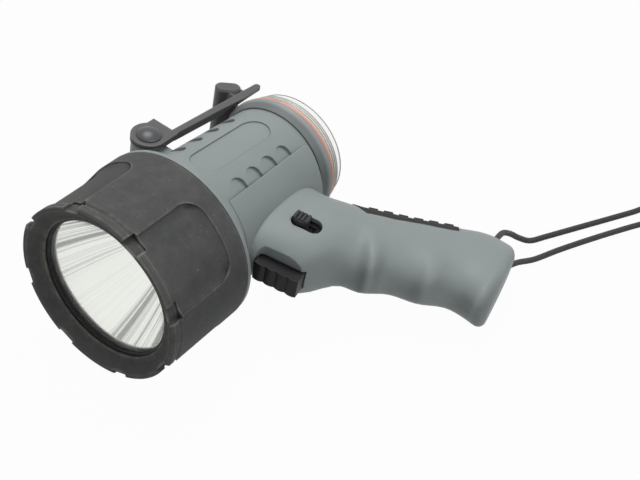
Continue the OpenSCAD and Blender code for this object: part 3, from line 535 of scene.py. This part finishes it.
def worn_rubber(name, colour, pale, dust_and_highlight, edge=0.0006):
    """Hard rubber: slightly mottled, with dust specks, painted shade in grooves, and edges paler as rubbing
    and painted highlight.
    """
    paint = Paint(name)
    mottle = paint.noise(MOTTLE_SIZE, MOTTLE_DETAIL, MOTTLE_ROUGH)
    blotch = paint.noise(CLOUD_SIZE, rough=CLOUD_ROUGH)
    fine = paint.noise(RUBBER_GRAIN)
    both = paint.math("ADD", paint.math("MULTIPLY", mottle, MOTTLE_SHARE),
                      paint.math("MULTIPLY", blotch, 1 - MOTTLE_SHARE))
    tone = paint.mix(paint.ramp(both, 0.0, 1.0, *NOISE_MIDDLE), colour, pale)
    for scale, size in DUST:
        near = paint.add("ShaderNodeTexVoronoi", {"Vector": paint.place, "Scale": scale}).outputs["Distance"]
        speck = paint.ramp(near, DUST_COVER, 0.0, size / 2, size)
        lying = paint.ramp(mottle, 0.0, 1.0, *DUST_WHERE)
        tone = paint.mix(paint.math("MULTIPLY", speck, lying), tone, dust_and_highlight)
    # painted shade in corners and grooves, darker where nearby surfaces close in
    unshaded = paint.open_face(RUBBER_CORNER)
    tone = paint.mix(unshaded, shades(colour, RUBBER_CORNER_SHADE)[0], tone)
    # edges painted paler in patches, partly as rubbing and partly as painted highlight, except in shaded
    # grooves
    rub_and_highlight = paint.math("MULTIPLY", paint.edges(edge * RUBBER_RUB_AND_HIGHLIGHT_REACH), paint.ramp(mottle, *RUBBER_RUB_AND_HIGHLIGHT))
    paint.set(Base_Color=paint.mix(paint.math("MULTIPLY", rub_and_highlight, unshaded), tone, dust_and_highlight))
    paint.set(Roughness=paint.ramp(both, *RUBBER_ROUGH), Specular_IOR_Level=RUBBER_GLOSS)
    height = paint.math("ADD", paint.math("MULTIPLY", fine, RUBBER_GRAIN_SHARE), mottle)
    return paint.bump(height, RUBBER_DEPTH, edge).material


# metal: size of the uneven spots in its polish, their shade, the range of roughness as shares, their depth
METAL_GRAIN = 0.002
METAL_DIM = 0.94
METAL_ROUGH = (0.8, 1.25)
METAL_DEPTH = 0.000004


def bright(name, colour, rough):
    """Bare or plated metal with a slightly uneven polish."""
    paint = Paint(name)
    uneven = paint.noise(METAL_GRAIN)
    dark = shades(colour, METAL_DIM)[0]
    paint.set(Base_Color=paint.mix(uneven, dark, colour), Metallic=1.0)
    low, high = (rough * part for part in METAL_ROUGH)
    paint.set(Roughness=paint.ramp(uneven, low, high, *NOISE_MIDDLE))
    return paint.bump(uneven, METAL_DEPTH).material


# clear plastic: its haze, how quickly it greys towards its outlines, and how much frost covers
HAZE_SIZE = 0.004
HAZE_ROUGH = (0.7, 1.3)
HAZE_LEAST = 0.005
HAZE_DEPTH = 0.000002
ASIDE_BLEND = 0.5
ASIDE_POWER = 3.0
FROST_COVER = 0.85


def clear(name, colour, rough, face, rim, frost=None):
    """Clear plastic or glass: nearly unseen straight on, greyer towards its outlines, with faint haze.

    Frost, where there is any, fades in between two places along the beam."""
    paint = Paint(name)
    haze = paint.noise(HAZE_SIZE)
    facing = paint.add("ShaderNodeLayerWeight", {"Blend": ASIDE_BLEND}).outputs["Facing"]
    cover = paint.ramp(paint.math("POWER", facing, ASIDE_POWER), face, rim)
    if frost:
        frosted = paint.ramp(paint.light_place()["X"], 0.0, FROST_COVER, *frost)
        cover = paint.math("MAXIMUM", cover, frosted)
    paint.set(Base_Color=colour, Alpha=cover)
    low, high = (rough * part for part in HAZE_ROUGH)
    paint.set(Roughness=paint.ramp(haze, low, high + HAZE_LEAST, *NOISE_MIDDLE))
    return paint.bump(haze, HAZE_DEPTH).material


# the reflector: the bowl's rim, how far its normal leans to the beam, the clear band across it and the band's
# edges, and the painted reflection streaks beside it, broad and thin, each with the range of noise that makes
# one
BOWL_RIM = (0.0361, 0.0364)
BOWL_LEAN = 1.2 * (TO_ROW_TURN @ Vector((1, 0, 0)))
CLEAR_BAND = (0.0, -0.45, -0.89)
CLEAR_SHARE = 0.12
CLEAR_EDGE = (0.84, 0.93)
STREAK_SHIFT = (0.74, 1.42, 2.26)
STREAK_DETAIL = 2.0
BROAD_SIZE = 0.20
BROAD_RANGE = (0.42, 0.50)
THIN_SIZE = 0.03
THIN_ROUGH = 0.5
THIN_RANGE = (0.34, 0.54)
THIN_SHARE = 0.5
MIRROR_ROUGH = (0.10, 0.18)
MIRROR_DEPTH = 0.000004


def mirror(name, colour, dim):
    """Metallised bowl: bright, with painted reflection streaks that run out from the lamp on both sides of a
    clear band.

    The flat rim outside the bowl is satin white."""
    paint = Paint(name)
    parts = paint.light_place()
    flat = paint.add("ShaderNodeCombineXYZ", {"Y": parts["Y"], "Z": parts["Z"]}).outputs["Vector"]
    away = paint.vector("NORMALIZE", flat)["Vector"]
    radius = paint.vector("LENGTH", flat)["Value"]
    bowl = paint.ramp(radius, 1.0, 0.0, *BOWL_RIM)
    # painted reflection: darker streaks in the bowl's colour, outside the clear band
    across = paint.vector("DOT_PRODUCT", away, CLEAR_BAND)["Value"]
    share = paint.math("MULTIPLY", paint.ramp(across, 1.0, CLEAR_SHARE, *CLEAR_EDGE), bowl)
    where = paint.vector("ADD", away, STREAK_SHIFT)["Vector"]
    broad = paint.ramp(paint.noise(BROAD_SIZE, STREAK_DETAIL, where=where), 1.0, 0.0, *BROAD_RANGE)
    thin = paint.ramp(paint.noise(THIN_SIZE, STREAK_DETAIL, THIN_ROUGH, where), 1.0, 0.0, *THIN_RANGE)
    painted_streaks = paint.math("MAXIMUM", broad, paint.math("MULTIPLY", thin, THIN_SHARE))
    paint.set(Base_Color=paint.mix(paint.math("MULTIPLY", painted_streaks, share), colour, dim), Metallic=bowl)
    paint.set(Roughness=paint.ramp(thin, *MIRROR_ROUGH))
    normal = paint.add("ShaderNodeNewGeometry").outputs["Normal"]
    outward = paint.vector("ADD", normal, BOWL_LEAN)["Vector"]
    steady = paint.vector("NORMALIZE", outward)["Vector"]
    bump = paint.add("ShaderNodeBump", {"Height": thin, "Distance": MIRROR_DEPTH, "Normal": steady})
    return paint.set(Normal=bump.outputs["Normal"]).material


# the thread's material: the part of its wave that is groove and gets painted shade, its grain, roughness and
# depth
GROOVE_RANGE = (-0.95, -0.1)
THREAD_GRAIN = 0.0004
THREAD_ROUGH = (0.4, 0.55)
THREAD_DEPTH = 0.00001


def threaded(name, colour, groove_shade):
    """Moulded thread with painted shade in its grooves; the second UV runs one unit to a turn of the helix.
    """
    paint = Paint(name)
    uv = paint.add("ShaderNodeTexCoord").outputs["UV"]
    parts = paint.add("ShaderNodeSeparateXYZ", {"Vector": uv}).outputs
    phase = paint.math("MULTIPLY", paint.math("ADD", parts["X"], parts["Y"]), 2 * math.pi)
    # painted shade in the grooves of the helix
    low = paint.ramp(paint.math("COSINE", phase), 1.0, 0.0, *GROOVE_RANGE)
    fine = paint.noise(THREAD_GRAIN)
    paint.set(Base_Color=paint.mix(low, colour, groove_shade), Roughness=paint.ramp(fine, *THREAD_ROUGH))
    return paint.bump(fine, THREAD_DEPTH).material


# the cord's braid: strands round it, strands to a metre, the part of their wave that stands out, and its fuzz
BRAID_ROUND = 8.0
BRAID_ALONG = 1600.0
BRAID_RANGE = (-0.5, 1.0)
BRAID_FUZZ = 0.0008
BRAID_ROUGH = (0.7, 0.9)
BRAID_SHEEN = 0.25
BRAID_SHEEN_ROUGH = 0.5
BRAID_DEPTH = 0.00012


def braid(name, colour, pale):
    """Round braid: two sets of strands crossing on the cord."""
    paint = Paint(name)
    uv = paint.add("ShaderNodeTexCoord").outputs["UV"]
    strands = []
    for lean in (1, -1):
        scale = (BRAID_ROUND * lean, BRAID_ALONG, 1.0)
        turned = paint.add("ShaderNodeMapping", {"Vector": uv, "Scale": scale}).outputs["Vector"]
        parts = paint.add("ShaderNodeSeparateXYZ", {"Vector": turned}).outputs
        phase = paint.math("ADD", parts["X"], parts["Y"])
        strands.append(paint.math("SINE", paint.math("MULTIPLY", phase, 2 * math.pi)))
    height = paint.ramp(paint.math("MAXIMUM", *strands), 0.0, 1.0, *BRAID_RANGE)
    fuzz = paint.noise(BRAID_FUZZ)
    paint.set(Base_Color=paint.mix(paint.math("MULTIPLY", height, fuzz), colour, pale))
    paint.set(Roughness=paint.ramp(fuzz, *BRAID_ROUGH))
    paint.set(Sheen_Weight=BRAID_SHEEN, Sheen_Roughness=BRAID_SHEEN_ROUGH)
    return paint.bump(height, BRAID_DEPTH).material


def coat(node, material):
    """Gives a CAD node its material."""
    slots = NODES[node].data.materials
    slots.clear()
    slots.append(material)


# corners nearer than this are one, and edges turned by more than this stay sharp
MERGE_WITHIN = 2e-6
SHARP_DEG = 32


def shade(nodes):
    """Smooth shading across soft edges, sharp across hard ones, as a modifier."""
    group = bpy.data.node_groups.new("soft_shading", "GeometryNodeTree")
    group.interface.new_socket("Geometry", in_out="INPUT", socket_type="NodeSocketGeometry")
    group.interface.new_socket("Geometry", in_out="OUTPUT", socket_type="NodeSocketGeometry")
    made = {kind: group.nodes.new(kind) for kind in (
        "NodeGroupInput", "GeometryNodeMergeByDistance", "NodeGroupOutput", "GeometryNodeInputMeshEdgeAngle",
        "FunctionNodeCompare")}
    smooth = group.nodes.new("GeometryNodeSetShadeSmooth")
    sharp = group.nodes.new("GeometryNodeSetShadeSmooth")
    sharp.domain = "EDGE"
    sharp.inputs["Shade Smooth"].default_value = False
    made["GeometryNodeMergeByDistance"].inputs["Distance"].default_value = MERGE_WITHIN
    compare = made["FunctionNodeCompare"]
    compare.operation = "GREATER_THAN"
    compare.inputs["B"].default_value = math.radians(SHARP_DEG)
    link = group.links.new
    link(made["GeometryNodeInputMeshEdgeAngle"].outputs["Unsigned Angle"], compare.inputs["A"])
    link(made["NodeGroupInput"].outputs[0], made["GeometryNodeMergeByDistance"].inputs["Geometry"])
    link(made["GeometryNodeMergeByDistance"].outputs[0], smooth.inputs["Geometry"])
    link(smooth.outputs[0], sharp.inputs["Geometry"])
    link(compare.outputs["Result"], sharp.inputs["Selection"])
    link(sharp.outputs[0], made["NodeGroupOutput"].inputs[0])
    for name in nodes:
        NODES[name].modifiers.new("soft_shading", "NODES").node_group = group


# stage: where the sky is brightest, where it starts to brighten and how bright it is, the floor, and the
# lamps with place, size and watts
SKY_FROM = (-0.25, -0.10, 0.96)
SKY_START = -0.2
SKY_LOW = 0.17
SKY_HIGH = 0.42
WHITE = (1, 1, 1, 1)
FLOOR_HALF = 3.0
FLOOR_GLOW = 0.97
FLOOR_COLOUR = (0.5, 0.5, 0.5, 1)
FLOOR_ROUGH = 0.9
LAMPS = [
    ("key", (-0.42, -0.28, 1.3), 0.9, 10.0),
    ("fill", (0.05, 0.95, 1.0), 0.9, 4.2),
]
LAMPS_AIM = Vector((0, 0, 0.05))


def seen_directly(tree):
    """1 for rays that the eye follows: straight, mirrored, or through glass."""
    path = tree.nodes.new("ShaderNodeLightPath")
    total = path.outputs["Is Camera Ray"]
    for name in ("Is Glossy Ray", "Is Transmission Ray"):
        both = tree.nodes.new("ShaderNodeMath")
        both.operation = "MAXIMUM"
        tree.links.new(total, both.inputs[0])
        tree.links.new(path.outputs[name], both.inputs[1])
        total = both.outputs[0]
    return total


def make_world():
    """White where it is seen; as light, a soft sky that is brighter above and behind the object."""
    world = bpy.data.worlds.new("studio")
    world.use_nodes = True
    bpy.context.scene.world = world
    tree = world.node_tree
    back = tree.nodes["Background"]
    way = tree.nodes.new("ShaderNodeTexCoord").outputs["Generated"]
    lean = tree.nodes.new("ShaderNodeVectorMath")
    lean.operation = "DOT_PRODUCT"
    lean.inputs[1].default_value = SKY_FROM
    tree.links.new(way, lean.inputs[0])
    sky = tree.nodes.new("ShaderNodeMapRange")
    sky.inputs["From Min"].default_value = SKY_START
    sky.inputs["To Min"].default_value = SKY_LOW
    sky.inputs["To Max"].default_value = SKY_HIGH
    tree.links.new(lean.outputs["Value"], sky.inputs["Value"])
    strength = tree.nodes.new("ShaderNodeMapRange")
    strength.inputs["To Max"].default_value = 1.0
    tree.links.new(seen_directly(tree), strength.inputs["Value"])
    tree.links.new(sky.outputs["Result"], strength.inputs["To Min"])
    tree.links.new(strength.outputs["Result"], back.inputs["Strength"])
    back.inputs["Color"].default_value = WHITE


def make_floor():
    half = FLOOR_HALF
    corners = [(-half, -half, 0), (half, -half, 0), (half, half, 0), (-half, half, 0)]
    floor = new_mesh("floor", corners, [(0, 1, 2, 3)])
    paint = Paint("floor")
    paint.set(Base_Color=FLOOR_COLOUR, Roughness=FLOOR_ROUGH)
    glow = paint.add("ShaderNodeEmission", {"Color": WHITE, "Strength": 1.0})
    share = paint.math("MULTIPLY", seen_directly(paint.tree), FLOOR_GLOW)
    blend = paint.add("ShaderNodeMixShader", {0: share, 1: paint.shader.outputs[0], 2: glow.outputs[0]})
    paint.put(paint.tree.nodes["Material Output"].inputs["Surface"], blend.outputs[0])
    floor.data.materials.append(paint.material)


def make_lamps():
    for name, at, size, watts in LAMPS:
        data = bpy.data.lights.new(name, "AREA")
        data.shape = "DISK"
        data.size = size
        data.energy = watts
        lamp = bpy.data.objects.new(name, data)
        lamp.location = at
        lamp.rotation_euler = (LAMPS_AIM - Vector(at)).to_track_quat("-Z", "Y").to_euler()
        bpy.context.scene.collection.objects.link(lamp)


bpy.context.scene.view_settings.view_transform = "Standard"
make_camera()
cord = make_cord()
spring = make_spring()
thread = make_thread()
ridges = make_ridges()
contact = make_tail_contact()
slot_shade = make_slot_shade()
make_world()
make_floor()
make_lamps()

# where painted shade grows on the tail collar and frost on the cap, along the beam
COLLAR_SHADE_SPAN = (-0.1404, -0.1388)
CAP_FROST = (-0.1516, -0.1510)
GREY = moulded("grey_plastic", srgb(142, 150, 150), gloss=0.4, edge=0.0008, corner_shade=0.55, ridges=0.0045)
COLLAR = moulded("collar_plastic", srgb(152, 159, 160), rough=0.48, gloss=0.4, shade_span=COLLAR_SHADE_SPAN)
BLACK = moulded("black_plastic", srgb(30, 30, 32), rough=0.45, gloss=0.2)
# near-black plastic of the slider track, darker than the other black parts as painted shade in its slot; the
# painted shade in the screws' cross slots uses it too
TRACK_AND_SLOT_SHADE = moulded("track_and_slot_shade", srgb(20, 20, 21), rough=0.6, gloss=0.15)
ARM = moulded("stand_plastic", srgb(80, 79, 78), rough=0.4, edge=0.0012, wear_and_highlight=0.16)
SLIDER = moulded("slider_plastic", srgb(58, 57, 58), gloss=0.3)
DOME = moulded("cap_plastic", srgb(70, 72, 74), rough=0.3)
RED = moulded("red_plastic", srgb(170, 40, 30), rough=0.4)
BOARD = moulded("white_board", srgb(225, 226, 222), rough=0.35)
GREEN = moulded("green_board", srgb(40, 110, 60), rough=0.4)
LED = moulded("led_phosphor", srgb(235, 215, 110), rough=0.25)
GUARD = worn_rubber("guard_rubber", srgb(66, 67, 68), srgb(94, 95, 93), srgb(156, 155, 147), edge=0.0016)
PAD = worn_rubber("black_rubber", srgb(46, 46, 46), srgb(66, 66, 65), srgb(112, 112, 108))
ORING = moulded("orange_rubber", srgb(224, 162, 138), rough=0.4, wear_and_highlight=0.05)
STEEL = bright("steel", srgb(190, 192, 194), rough=0.3)
ALUMINIUM = bright("bare_aluminium", srgb(205, 207, 208), rough=0.35)
BRASS = bright("contact_metal", srgb(215, 200, 160), rough=0.3)
CELLS = moulded("cell_jacket", srgb(70, 74, 80), rough=0.3)
# the reflector's second colour is the tone of its painted reflection streaks
MIRROR = mirror("bright_reflector", srgb(247, 249, 243), srgb(164, 167, 163))
LENS = clear("clear_lens", srgb(250, 251, 250), rough=0.03, face=0.03, rim=0.35)
CAP = clear("clear_cap", srgb(238, 237, 232), rough=0.08, face=0.05, rim=0.6, frost=CAP_FROST)
RIDGES = moulded("cap_ridges", srgb(186, 186, 183), rough=0.3, corner_shade=1.0)

COATS = {
    "bezel_guard": GUARD, "lens_ring": BLACK, "lens": LENS, "lens_seal": PAD, "reflector": MIRROR,
    "led_emitter": LED, "led_board": BOARD, "heat_sink": ALUMINIUM, "driver_board": GREEN,
    "front_collar": GREY, "body_left_shell": GREY, "body_right_shell": GREY, "shell_screws": STEEL,
    "tail_collar": COLLAR, "tail_oring": ORING, "tail_cap": CAP, "battery_carrier": BLACK,
    "battery_cells": CELLS, "battery_contacts": BRASS, "trigger": BLACK, "switch_block": BLACK,
    "switch_plunger": RED, "lock_slider": SLIDER, "slider_track": TRACK_AND_SLOT_SHADE, "grip_pad": PAD, "stand_bail": ARM,
    "stand_pin": STEEL, "pivot_caps": DOME,
}
for node_name, node_material in COATS.items():
    coat(node_name, node_material)
shade(COATS)
cord.data.materials.append(braid("cord_braid", srgb(40, 40, 42), srgb(72, 72, 74)))
spring.data.materials.append(STEEL)
ridges.data.materials.append(RIDGES)
contact.data.materials.append(BRASS)
slot_shade.data.materials.append(TRACK_AND_SLOT_SHADE)
# the thread's second colour is the painted shade in its grooves
thread.data.materials.append(threaded("neck_thread", srgb(206, 208, 205), srgb(140, 142, 141)))
